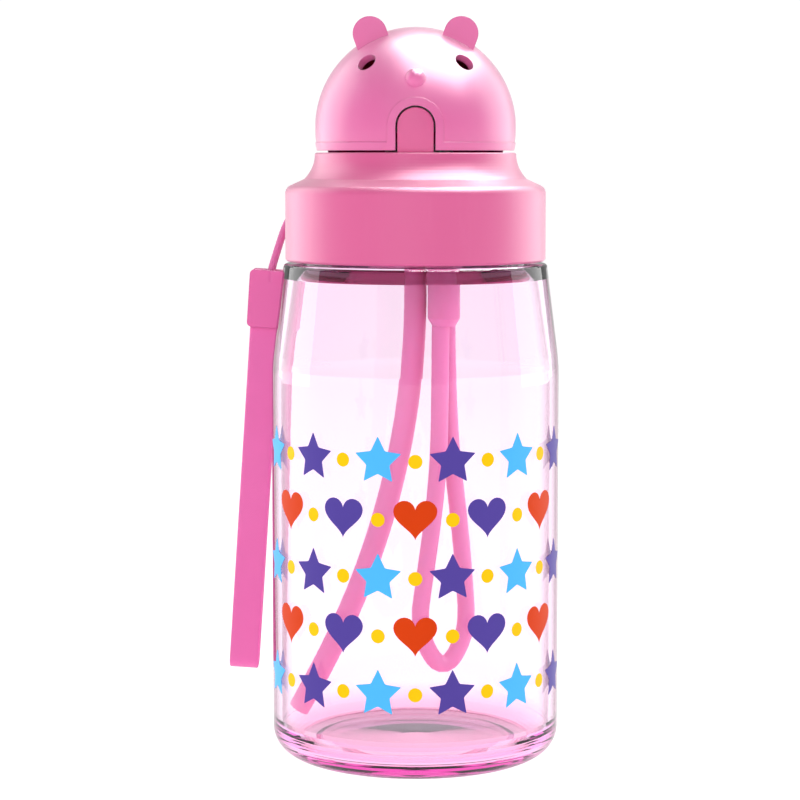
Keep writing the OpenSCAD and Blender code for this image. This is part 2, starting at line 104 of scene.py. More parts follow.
def pathFrames(path, side):
    # a steady sideways direction carried along the path
    frames, ref = [], Vector(side).normalized()
    for i in range(len(path)):
        t = (path[min(i + 1, len(path) - 1)] - path[max(i - 1, 0)]).normalized()
        ref = (ref - t * ref.dot(t)).normalized()
        frames.append((ref.copy(), t.cross(ref).normalized()))
    return frames


def addObject(name, bm):
    for face in bm.faces:
        face.smooth = True
    data = bpy.data.meshes.new(name)
    bm.to_mesh(data)
    bm.free()
    obj = bpy.data.objects.new(name, data)
    bpy.context.scene.collection.objects.link(obj)
    return obj


def sweep(name, path, side, profileAt):
    # profileAt(i, along) gives the ring of (sideways, upward) points in millimetres at step i.
    # UVs hold the place round the ring and the distance along the path, both in millimetres
    bm = bmesh.new()
    uv = bm.loops.layers.uv.new("weave")
    frames = pathFrames(path, side)
    rings, coords, along = [], [], 0.0
    for i, p in enumerate(path):
        if i:
            along += (p - path[i - 1]).length
        ring = profileAt(i, along)
        u, v = frames[i]
        rings.append([bm.verts.new((p + u * x + v * y) * mm) for x, y in ring])
        girth, turn = [0.0], 0.0
        for k in range(len(ring)):
            a, b = ring[k], ring[(k + 1) % len(ring)]
            turn += math.hypot(b[0] - a[0], b[1] - a[1])
            girth.append(turn)
        coords.append((girth, along))
    n = len(rings[0])
    for i in range(len(rings) - 1):
        for k in range(n):
            j = (k + 1) % n
            face = bm.faces.new((rings[i][k], rings[i][j], rings[i + 1][j], rings[i + 1][k]))
            spots = [(coords[i][0][k], coords[i][1]), (coords[i][0][k + 1], coords[i][1]),
                     (coords[i + 1][0][k + 1], coords[i + 1][1]), (coords[i + 1][0][k], coords[i + 1][1])]
            for loop, spot in zip(face.loops, spots):
                loop[uv].uv = spot
    bm.faces.new(list(reversed(rings[0])))
    bm.faces.new(rings[-1])
    bmesh.ops.recalc_face_normals(bm, faces=bm.faces)
    return addObject(name, bm)


def circle(r, sides):
    return [(r * math.cos(2 * math.pi * k / sides), r * math.sin(2 * math.pi * k / sides))
            for k in range(sides)]


def tube(name, path, side, look):
    # an open tube with a real wall and rounded ends: the path runs out, over the end and back inside
    bm = bmesh.new()
    frames = pathFrames(path, side)
    outer, inner, rim, sides = look["outer"], look["inner"], look["lip"], look["sides"]
    steps = []
    last = len(path) - 1
    inward = [math.radians(a) for a in (0, 30, 60, 90)]

    def ringAt(i, r, shift):
        u, v = frames[i]
        t = (path[min(i + 1, last)] - path[max(i - 1, 0)]).normalized()
        p = path[i] + t * shift
        return [bm.verts.new((p + u * x + v * y) * mm) for x, y in circle(r, sides)]

    for a in inward[::-1]:
        steps.append((0, outer - rim * (1 - math.cos(a)), rim * (1 - math.sin(a))))
    steps += [(i, outer, 0) for i in range(1, last)]
    for a in inward:
        steps.append((last, outer - rim * (1 - math.cos(a)), -rim * (1 - math.sin(a))))
    for a in inward[::-1]:
        steps.append((last, inner + rim * (1 - math.cos(a)), -rim * (1 - math.sin(a))))
    steps += [(i, inner, 0) for i in range(last - 1, 0, -1)]
    for a in inward:
        steps.append((0, inner + rim * (1 - math.cos(a)), rim * (1 - math.sin(a))))
    rings = [ringAt(*s) for s in steps]
    for a, b in zip(rings, rings[1:] + rings[:1]):
        for k in range(sides):
            j = (k + 1) % sides
            bm.faces.new((a[k], a[j], b[j], b[k]))
    bmesh.ops.recalc_face_normals(bm, faces=bm.faces)
    return addObject(name, bm)


# wrist cord, a thin braid from the clip over the cap's lug and back

wristCord = {"radius": 0.9, "strands": 6, "lay": 5.2, "relief": 0.055, "sides": 48, "step": 0.16,
             "lean": (1, 0, 0.2)}
cordRoute = [(-37.3, 17, 117.9), (-37.1, 17, 120.9), (-36.3, 17.1, 123.9), (-33.8, 17.2, 131.4),
             (-31.6, 17.4, 135.9), (-30.6, 18, 138.4), (-30.4, 20, 138.9)]
cordRoute += [(x, 40 - y, z) for x, y, z in cordRoute[-2::-1]]


def makeCord():
    path = smoothPath(cordRoute, wristCord["step"])
    sides, strands = wristCord["sides"], wristCord["strands"]

    def ring(i, along):
        out = []
        for k in range(sides):
            a = k / sides
            left = math.sin(2 * math.pi * (strands * a + along / wristCord["lay"] * 2))
            right = math.sin(2 * math.pi * (strands * a - along / wristCord["lay"] * 2))
            r = wristCord["radius"] - wristCord["relief"] * (1 - left * right) / 2
            out.append((r * math.cos(2 * math.pi * a), r * math.sin(2 * math.pi * a)))
        return out

    obj = sweep("wristCord", path, wristCord["lean"], ring)
    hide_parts("strap_cord")
    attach(obj, "strap")
    return obj


# wrist band, one woven strip folded in two and held by the clip

wristBand = {"width": 7.6, "thick": 1.4, "edge": 0.45, "layerOff": 2.4, "top": -5.8, "bend": -101.4,
             "clip": (-37.9, 20, 120.9), "lean": 3.8, "step": 0.8, "across": 14}


def makeBand():
    half, off = wristBand["width"] / 2, wristBand["layerOff"]
    turn = [(0, off * math.cos(math.radians(a)), wristBand["bend"] - off * math.sin(math.radians(a)))
            for a in range(180, -1, -10)]
    flat = [(0, -off, wristBand["top"])] + turn + [(0, off, wristBand["top"])]
    lean = math.radians(wristBand["lean"])
    cx, cy, cz = wristBand["clip"]
    placed = [(cx + x * math.cos(lean) + z * math.sin(lean), cy + y,
               cz - x * math.sin(lean) + z * math.cos(lean)) for x, y, z in flat]
    path = evenPath(placed, wristBand["step"])
    t, e = wristBand["thick"] / 2, wristBand["edge"]

    def ring(i, along):
        # flat faces with rounded selvedges
        n = wristBand["across"]
        top = [(-half + e + (2 * half - 2 * e) * k / n, t) for k in range(n + 1)]
        right = [(half - e + e * math.sin(math.radians(a)), t * math.cos(math.radians(a)))
                 for a in (30, 60, 90, 120, 150)]
        return top + right + [(-x, -y) for x, y in top] + [(-x, -y) for x, y in right]

    obj = sweep("wristBand", path, (math.cos(lean), 0, -math.sin(lean)), ring)
    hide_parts("strap_band")
    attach(obj, "strap")
    return obj


cordPiece = makeCord()
bandPiece = makeBand()
print("cord and band made")


# drinking straw and the vent tube's loop

straw = {"outer": 2.85, "inner": 1.85, "y": 4, "top": 141.5, "bendTop": 116, "floor": 9.5, "reach": 30.2,
         "sides": 36, "step": 1.6, "arcSteps": 60, "lip": 0.25}
ventTube = {"outer": 2.2, "inner": 1.4, "place": (7.1, 0, 108), "sides": 28, "step": 1.2, "lip": 0.15}
ventRoute = [(-0.8, -2.4, 6), (-0.8, -2.4, 0), (-0.9, -2.4, -10), (-1, -2.4, -20), (-1.2, -2.4, -30),
             (-1.9, -2.4, -41), (-3, -2.3, -51), (-4.2, -2.1, -60), (-5.3, -1.8, -68), (-5.8, -1.5, -73),
             (-5.3, -1.2, -78), (-3.9, -0.9, -82), (-2, -0.5, -85), (0, 0, -86), (2, 0.5, -85),
             (3.9, 0.9, -82), (5.3, 1.2, -78), (5.8, 1.5, -73), (5.5, 1.8, -67), (4.8, 2.1, -58),
             (3.9, 2.3, -49), (2.9, 2.4, -40), (1.9, 2.4, -30), (1.3, 2.4, -20), (1, 2.4, -10),
             (0.8, 2.4, 0), (0.8, 2.4, 6)]


def makeStraw():
    drop = straw["bendTop"] - straw["floor"]
    deg = 2 * math.atan(straw["reach"] / drop)
    r = drop / math.sin(deg)
    points = [(0, straw["y"], straw["top"] - 2 * k) for k in range(13)]
    n = straw["arcSteps"]
    points += [(r * (math.cos(deg * k / n) - 1), straw["y"], straw["bendTop"] - r * math.sin(deg * k / n))
               for k in range(n + 1)]
    obj = tube("drinkingStraw", evenPath(points, straw["step"]), (0, 1, 0), straw)
    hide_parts("drinking_straw")
    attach(obj, "lid")
    return obj


def makeVentTube():
    px, py, pz = ventTube["place"]
    path = smoothPath([(px + x, py + y, pz + z) for x, y, z in ventRoute], ventTube["step"])
    obj = tube("ventTube", path, (0, 1, 0.02), ventTube)
    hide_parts("vent_loop")
    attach(obj, "lid")
    return obj


strawPiece = makeStraw()
ventPiece = makeVentTube()


# spout: a fixed foot on the deck, and one soft part, which on the real cup bends as the dome opens, built here in
# one bent pose. The stations along the soft part are (distance after the deck, radius), and its lip is measured
# back from its end

spout = {"y": 4, "foot": 149.2, "deck": 150.5, "foldZ": 157.5, "turn": 3.6, "end": -18, "bore": 1.7,
         "neck": 4.5, "pleatFrom": 2.8, "pleatTo": 8.2, "pleat": 1.8, "pleatDepth": 0.28, "stem": (4.35, 3.85),
         "lipFrom": 4.4, "lipRise": 1.6, "lipRadius": 4.85, "roundFrom": 1.5, "mouth": 3.7,
         "flange": 7.7, "collar": 5.5, "footTop": 4.6, "footHeight": 3.0,
         "sides": 48, "step": 0.3, "bendFrom": (2.0, 5.3), "bendTo": (5.5, 0.3)}


def ease(a, b, t):
    t = max(0.0, min(1.0, t))
    return a + (b - a) * t * t * (3 - 2 * t)


def spoutRadius(s, deck, end):
    r = spout["neck"]
    stemFoot, stemTip = spout["stem"]
    start, stop = deck + spout["pleatFrom"], deck + spout["pleatTo"]
    if start < s < stop:
        r -= spout["pleatDepth"] * (1 - math.cos(2 * math.pi * (s - start) / spout["pleat"])) / 2
    if s > stop:
        r = ease(stemFoot, stemTip, (s - stop) / (end - start - 10))
    if s > end - spout["lipFrom"]:
        r = ease(stemTip, spout["lipRadius"], (s - end + spout["lipFrom"]) / spout["lipRise"])
    if s > end - spout["roundFrom"]:
        r = ease(spout["lipRadius"], spout["mouth"], (s - end + spout["roundFrom"]) / spout["roundFrom"])
    return r


def footRadius(s, deck):
    r = ease(spout["flange"], spout["collar"], (s - deck - 1.0) / 0.9)
    return ease(r, spout["footTop"], (s - deck - 2.2) / 0.8)


def makeSpout():
    y0, zf, turn, zFoot = spout["y"], spout["foldZ"], spout["turn"], spout["foot"]
    sides, deck = spout["sides"], spout["deck"] - spout["foot"]
    points = [(0, y0, zFoot + (zf - turn - zFoot) * k / 20) for k in range(20)]
    points += [(0, y0 - turn + turn * math.cos(math.radians(a)), zf - turn + turn * math.sin(math.radians(a)))
               for a in range(0, 91, 5)]
    points += [(0, y0 - turn - (y0 - turn - spout["end"]) * k / 40, zf) for k in range(1, 41)]
    path = evenPath(points, spout["step"])
    spans = [0.0]
    for a, b in zip(path, path[1:]):
        spans.append(spans[-1] + (b - a).length)
    bm = bmesh.new()
    frames = pathFrames(path, (1, 0, 0))
    rings = []
    for p, (u, v), s in zip(path, frames, spans):
        ring = circle(spoutRadius(s, deck, spans[-1]), sides)
        rings.append([bm.verts.new((p + u * x + v * y) * mm) for x, y in ring])
    tip = (path[-1] - path[-2]).normalized()
    u, v = frames[-1]
    bore = spout["bore"]
    for r, back in ((3.2, -0.1), (2.2, 0.0), (1.9, 0.1), (bore, 0.4), (bore, 3), (bore, 7)):
        rings.append([bm.verts.new((path[-1] - tip * back + u * x + v * y) * mm) for x, y in circle(r, sides)])
    for a, b in zip(rings, rings[1:]):
        for k in range(sides):
            j = (k + 1) % sides
            bm.faces.new((a[k], a[j], b[j], b[k]))
    bm.faces.new(list(reversed(rings[0])))
    bm.faces.new(rings[-1])
    bmesh.ops.recalc_face_normals(bm, faces=bm.faces)
    soft = addObject("foldingSpout", bm)
    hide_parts("spout_tip")
    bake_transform(soft)

    footPath = evenPath([(0, y0, zFoot), (0, y0, spout["deck"] + spout["footHeight"])], 0.1)
    foot = sweep("spoutFoot", footPath, (1, 0, 0), lambda i, along: circle(footRadius(along, deck), sides))
    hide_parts("spout_base")
    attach(foot, "lid")
    return soft, foot


spoutPiece, spoutFoot = makeSpout()
print("tubes and spout made")


# printed pattern: plain stars, hearts and dots in even rows round the front of the wall, in millimetres
# along the wall and above the table. Nothing here is lettering

wall = {"radius": 36.0, "inkThick": 0.05, "inkLift": 0.03, "facet": 1.0, "merge": 0.0005}
pattern = {"rows": 5, "low": 22.0, "rise": 14.0, "step": 18.0, "most": 6,
           "star": 6.0, "heart": 10.5, "dot": 1.7}


def dotLoop(u, z, r, sides=28):
    turns = [2 * math.pi * k / sides for k in range(sides)]
    return [(u + r * math.cos(a), z + r * math.sin(a)) for a in turns]


def softCorners(loop, r, steps=4):
    # each corner becomes a small curve
    out = []
    n = len(loop)
    for i in range(n):
        a, b, c = (Vector(loop[(i + k) % n]) for k in (-1, 0, 1))
        cut = min(r, (a - b).length * 0.45, (c - b).length * 0.45)
        p, q = b + (a - b).normalized() * cut, b + (c - b).normalized() * cut
        for k in range(steps + 1):
            t = k / steps
            out.append(tuple(p * (1 - t) ** 2 + b * 2 * t * (1 - t) + q * t * t))
    return out


def starLoop(u, z, r, inner=0.5, points=5):
    loop = []
    for k in range(2 * points):
        a = math.radians(90 + 180 * k / points)
        s = r if k % 2 == 0 else r * inner
        loop.append((u + s * math.cos(a), z + s * math.sin(a)))
    return softCorners(loop, 0.35)


def heartLoop(u, z, size):
    loop = []
    for k in range(48):
        t = 2 * math.pi * k / 48
        x = 16 * math.sin(t) ** 3
        y = 13 * math.cos(t) - 5 * math.cos(2 * t) - 2 * math.cos(3 * t) - math.cos(4 * t)
        loop.append((u + x * size / 32, z + (y + 2.5) * size / 32))
    return loop


starLoops, heartLoops, dotLoops = {"sky": [], "violet": []}, {"red": [], "violet": []}, []
for row in range(pattern["rows"]):
    z = pattern["low"] + pattern["rise"] * row
    count = pattern["most"] - row % 2
    for k in range(count):
        u = pattern["step"] * (k - (count - 1) / 2)
        if row % 2:
            heartLoops[("red", "violet")[k % 2]].append(heartLoop(u, z, pattern["heart"]))
        else:
            starLoops[("sky", "violet")[k % 2]].append(starLoop(u, z, pattern["star"]))
        if k < count - 1:
            dotLoops.append(dotLoop(u + pattern["step"] / 2, z, pattern["dot"]))
picture = [
    {"name": "printStarsSky", "ink": "sky", "loops": starLoops["sky"]},
    {"name": "printStarsViolet", "ink": "violet", "loops": starLoops["violet"]},
    {"name": "printHeartsRed", "ink": "red", "loops": heartLoops["red"]},
    {"name": "printHeartsViolet", "ink": "violet", "loops": heartLoops["violet"]},
    {"name": "printDots", "ink": "yellow", "loops": dotLoops},
]


def wrapPicture(part):
    # fills the loops flat, cuts them into narrow strips and wraps them as a thin solid round the wall
    data = bpy.data.curves.new("flatFill", "CURVE")
    data.dimensions = "2D"
    data.fill_mode = "FRONT"
    for loop in part["loops"]:
        spline = data.splines.new("POLY")
        spline.points.add(len(loop) - 1)
        for point, (u, z) in zip(spline.points, loop):
            point.co = (u, z, 0, 1)
        spline.use_cyclic_u = True
    flat = bpy.data.objects.new("flatFill", data)
    bpy.context.scene.collection.objects.link(flat)
    bpy.context.view_layer.update()
    mesh = bpy.data.meshes.new_from_object(flat.evaluated_get(bpy.context.evaluated_depsgraph_get()))
    bpy.data.objects.remove(flat)
    bpy.data.curves.remove(data)
    bm = bmesh.new()
    bm.from_mesh(mesh)
    bpy.data.meshes.remove(mesh)
    bmesh.ops.remove_doubles(bm, verts=bm.verts, dist=wall["merge"])
    low, high = min(v.co.x for v in bm.verts), max(v.co.x for v in bm.verts)
    u = math.ceil(low)
    while u < high:
        bmesh.ops.bisect_plane(bm, geom=bm.verts[:] + bm.edges[:] + bm.faces[:], plane_co=(u, 0, 0),
                               plane_no=(1, 0, 0), dist=wall["merge"])
        u += wall["facet"]
    bmesh.ops.triangulate(bm, faces=bm.faces)
    inner = wall["radius"] + wall["inkLift"]
    flatSpots = [(v.co.x, v.co.y) for v in bm.verts]
    outward = [f.normal.z > 0 for f in bm.faces]
    rims = []
    bm.verts.index_update()
    tris = [[v.index for v in f.verts] for f in bm.faces]
    for e in bm.edges:
        if len(e.link_faces) == 1:
            order = [v.index for v in e.link_faces[0].verts]
            a, b = e.verts[0].index, e.verts[1].index
            k = order.index(a)
            rims.append((a, b) if order[(k + 1) % 3] == b else (b, a))
    bm.free()
    made = bmesh.new()
    layers = []
    for r in (inner, inner + wall["inkThick"]):
        layers.append([made.verts.new((r * math.sin(u / wall["radius"]) * mm,
                                       -r * math.cos(u / wall["radius"]) * mm, z * mm)) for u, z in flatSpots])
    for tri, out in zip(tris, outward):
        order = tri if out else tri[::-1]
        made.faces.new([layers[1][i] for i in order])
        made.faces.new([layers[0][i] for i in order[::-1]])
    for a, b in rims:
        made.faces.new((layers[1][b], layers[1][a], layers[0][a], layers[0][b]))
    bmesh.ops.recalc_face_normals(made, faces=made.faces)
    obj = addObject(part["name"], made)
    for poly in obj.data.polygons:
        poly.use_smooth = False
    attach(obj, "bottle")
    return obj


printPieces = {part["name"]: (wrapPicture(part), part["ink"]) for part in picture}
print("print made")


# materials

def newGroup(name, inputs, outputs):
    group = bpy.data.node_groups.new(name, "ShaderNodeTree")
    for kind, label, value in inputs:
        socket = group.interface.new_socket(name=label, in_out="INPUT", socket_type=kind)
        socket.default_value = value
    for kind, label in outputs:
        group.interface.new_socket(name=label, in_out="OUTPUT", socket_type=kind)
    return group, group.nodes.new("NodeGroupInput"), group.nodes.new("NodeGroupOutput")


def addNode(tree, kind, links=(), **values):
    node = tree.nodes.new(kind)
    for key, value in values.items():
        setattr(node, key, value)
    for slot, source in links:
        socket = node.inputs[slot]
        if isinstance(source, bpy.types.NodeSocket):
            tree.links.new(source, socket)
        else:
            socket.default_value = source
    return node


def mixColor(tree, share, a, b, blend="MIX"):
    node = tree.nodes.new("ShaderNodeMix")
    node.data_type = "RGBA"
    node.blend_type = blend
    for slot, source in ((0, share), (6, a), (7, b)):
        if isinstance(source, bpy.types.NodeSocket):
            tree.links.new(source, node.inputs[slot])
        else:
            node.inputs[slot].default_value = source
    return node.outputs[2]


def mathNode(tree, operation, a, b=0.0, clamp=False):
    node = addNode(tree, "ShaderNodeMath", ((0, a), (1, b)), operation=operation)
    node.use_clamp = clamp
    return node.outputs[0]


def makeMouldedSkin():
    # slow drift of colour and gloss, with a fine satin grain, as on moulded plastic
    group, gin, gout = newGroup("mouldedSkin", (
        ("NodeSocketColor", "Base", (0.8, 0.3, 0.5, 1)), ("NodeSocketColor", "Drift", (0.8, 0.3, 0.5, 1)),
        ("NodeSocketFloat", "Drift size", 30.0), ("NodeSocketFloat", "Grain size", 5000.0),
        ("NodeSocketFloat", "Roughness", 0.3), ("NodeSocketFloat", "Roughness spread", 0.1)),
        (("NodeSocketColor", "Color"), ("NodeSocketFloat", "Roughness"), ("NodeSocketFloat", "Height")))
    place = addNode(group, "ShaderNodeTexCoord").outputs["Object"]
    slow = addNode(group, "ShaderNodeTexNoise",
                   (("Vector", place), ("Scale", gin.outputs["Drift size"]), ("Detail", 2.0)))
    fine = addNode(group, "ShaderNodeTexNoise",
                   (("Vector", place), ("Scale", gin.outputs["Grain size"]), ("Detail", 1.0)))
    drifted = mixColor(group, slow.outputs["Fac"], gin.outputs["Base"], gin.outputs["Drift"])
    group.links.new(drifted, gout.inputs["Color"])
    centred = mathNode(group, "SUBTRACT", slow.outputs["Fac"], 0.5)
    spread = mathNode(group, "MULTIPLY", centred, gin.outputs["Roughness spread"])
    group.links.new(mathNode(group, "ADD", gin.outputs["Roughness"], spread, True), gout.inputs["Roughness"])
    group.links.new(fine.outputs["Fac"], gout.inputs["Height"])
    return group


def makeHandling():
    # faint rubbed marks, drawn out along the height of the piece
    group, gin, gout = newGroup("handlingMarks", (
        ("NodeSocketFloat", "Mark size", 140.0), ("NodeSocketFloat", "Amount", 0.3)),
        (("NodeSocketFloat", "Mask"),))
    place = addNode(group, "ShaderNodeTexCoord").outputs["Object"]
    stretch = addNode(group, "ShaderNodeMapping", (("Vector", place), ("Scale", (1.0, 1.0, 0.16))))
    marks = addNode(group, "ShaderNodeTexNoise",
                    (("Vector", stretch.outputs[0]), ("Scale", gin.outputs["Mark size"]),
                     ("Detail", 5.0), ("Roughness", 0.7)))
    sharp = addNode(group, "ShaderNodeMapRange",
                    (("Value", marks.outputs["Fac"]), ("From Min", 0.55), ("From Max", 0.75)))
    mask = mathNode(group, "MULTIPLY", sharp.outputs["Result"], gin.outputs["Amount"], True)
    group.links.new(mask, gout.inputs["Mask"])
    return group


def makeWeave():
    # ribs across a strip and threads along it, read from the strip's own UVs in millimetres
    group, gin, gout = newGroup("stripWeave", (
        ("NodeSocketFloat", "Ribs per mm", 1.7), ("NodeSocketFloat", "Threads per mm", 2.2)),
        (("NodeSocketFloat", "Height"), ("NodeSocketFloat", "Mask")))
    uv = addNode(group, "ShaderNodeUVMap", uv_map="weave").outputs[0]
    parts = addNode(group, "ShaderNodeSeparateXYZ", ((0, uv),))
    threads = mathNode(group, "MULTIPLY", gin.outputs["Threads per mm"], math.pi)
    ribs = mathNode(group, "MULTIPLY", gin.outputs["Ribs per mm"], math.pi)
    across = mathNode(group, "MULTIPLY", parts.outputs[0], threads)
    along = mathNode(group, "MULTIPLY", parts.outputs[1], ribs)
    a = mathNode(group, "ABSOLUTE", mathNode(group, "SINE", mathNode(group, "ADD", across, along)))
    b = mathNode(group, "ABSOLUTE", mathNode(group, "SINE", mathNode(group, "SUBTRACT", across, along)))
    group.links.new(mathNode(group, "MAXIMUM", a, b), gout.inputs["Height"])
    group.links.new(mathNode(group, "MULTIPLY", a, b), gout.inputs["Mask"])
    return group


mouldedSkin = makeMouldedSkin()
handlingMarks = makeHandling()
stripWeave = makeWeave()


def rgb(r, g, b):
    # an sRGB colour in 0-255 as linear light
    return tuple(((c / 255 + 0.055) / 1.055) ** 2.4 if c > 10 else c / 3294 for c in (r, g, b)) + (1,)


def startMaterial(name):
    mat = bpy.data.materials.new(name)
    mat.use_nodes = True
    tree = mat.node_tree
    tree.nodes.clear()
    shader = tree.nodes.new("ShaderNodeBsdfPrincipled")
    out = tree.nodes.new("ShaderNodeOutputMaterial")
    tree.links.new(shader.outputs[0], out.inputs[0])
    return mat, tree, shader


def groupNode(tree, group, **values):
    node = tree.nodes.new("ShaderNodeGroup")
    node.node_tree = group
    for key, value in values.items():
        node.inputs[key.replace("_", " ")].default_value = value
    return node


def linkRoughness(tree, shader, skin, marks, rub):
    # rubbed marks are duller than the skin round them
    dulled = mathNode(tree, "MULTIPLY", marks.outputs["Mask"], rub)
    total = mathNode(tree, "ADD", skin.outputs["Roughness"], dulled, True)
    tree.links.new(total, shader.inputs["Roughness"])


def linkBump(tree, shader, height, strength, distance, normal=None):
    bump = addNode(tree, "ShaderNodeBump", (("Strength", strength), ("Distance", distance), ("Height", height)))
    if normal is not None:
        tree.links.new(normal, bump.inputs["Normal"])
    tree.links.new(bump.outputs[0], shader.inputs["Normal"])


def paintedShadeMask(tree, shadeZone):
    # painted shade mask: 1 inside a radius and under a height, where the skirt of the cap hides its own inner
    # wall, which is painted dark as shade
    place = addNode(tree, "ShaderNodeTexCoord").outputs["Object"]
    x, y, z = addNode(tree, "ShaderNodeSeparateXYZ", ((0, place),)).outputs
    squares = mathNode(tree, "ADD", mathNode(tree, "MULTIPLY", x, x), mathNode(tree, "MULTIPLY", y, y))
    near = mathNode(tree, "LESS_THAN", mathNode(tree, "SQRT", squares), shadeZone["radius"] * mm)
    low = mathNode(tree, "LESS_THAN", z, shadeZone["top"] * mm)
    return mathNode(tree, "MULTIPLY", near, low)


moulded = {"rub": 0.35, "bumpDepth": 0.0001, "coatRough": 0.15, "glowReach": (0.9, 0.35, 0.5), "glowScale": 0.003}


def mouldedMaterial(look):
    mat, tree, shader = startMaterial(look["name"])
    skin = groupNode(tree, mouldedSkin, Base=look["base"], Drift=look["drift"], Drift_size=look["driftSize"],
                     Grain_size=look["grain"], Roughness=look["rough"], Roughness_spread=look["spread"])
    marks = groupNode(tree, handlingMarks, Mark_size=look["markSize"], Amount=look["marks"])
    color = mixColor(tree, marks.outputs["Mask"], skin.outputs["Color"], look["worn"])
    # the cap's inner wall under the skirt is painted darker, as painted shade
    if "inside" in look:
        color = mixColor(tree, paintedShadeMask(tree, look["inside"]), color, look["inside"]["color"])
    tree.links.new(color, shader.inputs["Base Color"])
    linkRoughness(tree, shader, skin, marks, moulded["rub"])
    edge = addNode(tree, "ShaderNodeBevel", (("Radius", look["edge"] * mm),), samples=6)
    linkBump(tree, shader, skin.outputs["Height"], look["bump"], moulded["bumpDepth"], edge.outputs[0])
    shader.inputs["Specular IOR Level"].default_value = look.get("specular", 0.5)
    shader.inputs["Coat Weight"].default_value = look.get("coat", 0.0)
    shader.inputs["Coat Roughness"].default_value = look.get("coatRough", moulded["coatRough"])
    shader.inputs["Subsurface Weight"].default_value = look.get("glow", 0.0)
    shader.inputs["Subsurface Radius"].default_value = moulded["glowReach"]
    shader.inputs["Subsurface Scale"].default_value = moulded["glowScale"]
    shader.inputs["Sheen Weight"].default_value = look.get("sheen", 0.0)
    return mat


looks = {
    "cap": {
        "name": "capPlastic", "base": rgb(218, 84, 144), "drift": rgb(222, 90, 150), "driftSize": 22,
        "grain": 4200, "rough": 0.42, "spread": 0.08, "markSize": 160, "marks": 0.05,
        "worn": rgb(236, 150, 192), "edge": 0.35, "bump": 0.10, "coat": 1.0, "coatRough": 0.38,
        "glow": 0.08, "sheen": 0.3, "specular": 0.3,
        # painted shade: the inner wall under the skirt is painted dark maroon
        "inside": {"radius": 31.2, "top": 138.0, "color": rgb(120, 22, 52)}},
    "dome": {
        "name": "domePlastic", "base": rgb(226, 102, 164), "drift": rgb(230, 108, 170), "driftSize": 26,
        "grain": 5200, "rough": 0.38, "spread": 0.08, "markSize": 160, "marks": 0.04,
        "worn": rgb(248, 184, 214), "edge": 0.4, "bump": 0.07, "coat": 1.0, "coatRough": 0.34,
        "glow": 0.08, "sheen": 0.4, "specular": 0.3},
    "deck": {
        "name": "deckPlastic", "base": rgb(220, 88, 148), "drift": rgb(224, 94, 154), "driftSize": 30,
        "grain": 3600, "rough": 0.4, "spread": 0.08, "markSize": 180, "marks": 0.08,
        "worn": rgb(246, 180, 212), "edge": 0.3, "bump": 0.14, "glow": 0.08},
    "tube": {
        "name": "tubeSilicone", "base": rgb(228, 124, 176), "drift": rgb(232, 132, 182), "driftSize": 40,
        "grain": 6000, "rough": 0.42, "spread": 0.1, "markSize": 240, "marks": 0.06,
        "worn": rgb(236, 150, 192), "edge": 0.15, "bump": 0.05, "glow": 0.2, "sheen": 0.1},
    "seal": {
        "name": "sealSilicone", "base": rgb(244, 232, 236), "drift": rgb(236, 222, 228), "driftSize": 60,
        "grain": 7000, "rough": 0.55, "spread": 0.1, "markSize": 300, "marks": 0.1,
        "worn": rgb(226, 210, 218), "edge": 0.2, "bump": 0.08, "glow": 0.2, "sheen": 0.1},
    "spout": {
        "name": "spoutSilicone", "base": rgb(248, 240, 242), "drift": rgb(242, 230, 234), "driftSize": 50,
        "grain": 6500, "rough": 0.48, "spread": 0.1, "markSize": 260, "marks": 0.08,
        "worn": rgb(232, 220, 226), "edge": 0.2, "bump": 0.06, "glow": 0.35, "sheen": 0.15},
    "pin": {
        "name": "pinPlastic", "base": rgb(206, 84, 146), "drift": rgb(214, 92, 154), "driftSize": 80,
        "grain": 6000, "rough": 0.34, "spread": 0.1, "markSize": 300, "marks": 0.12,
        "worn": rgb(228, 140, 184), "edge": 0.2, "bump": 0.08, "coat": 0.1},
    "clip": {
        "name": "clipPlastic", "base": rgb(229, 98, 166), "drift": rgb(234, 106, 174), "driftSize": 50,
        "grain": 4200, "rough": 0.38, "spread": 0.1, "markSize": 220, "marks": 0.1,
        "worn": rgb(240, 150, 196), "edge": 0.45, "bump": 0.12, "coat": 0.08, "glow": 0.08},
}


# tint and density are the absorption per metre, shadow is what lamps lose on the way to the tubes inside,
# foot is the height band at the base over which the colour turns pinker towards the bottom, rim is where the
# outline is painted dark as painted shade
clearBody = {"base": rgb(255, 252, 254), "drift": rgb(255, 250, 254), "driftSize": 18.0, "grain": 900.0,
             "rough": 0.018, "spread": 0.012, "markSize": 90.0, "marks": 0.06, "rub": 0.3,
             "bump": 0.02, "bumpDepth": 0.0001, "ior": 1.45, "tint": (0.97, 0.0, 0.82, 1), "density": 32.0,
             "shadow": (0.95, 0.9, 0.94, 1), "foot": (2.0, 10.0), "footColor": (1.0, 0.55, 0.68, 1),
             # the last colour is painted shade along the outline, standing in for dark reflections at the edges
             "rimFrom": 0.62, "rimFull": 0.80, "paintedEdgeShade": (0.16, 0.04, 0.08, 1)}


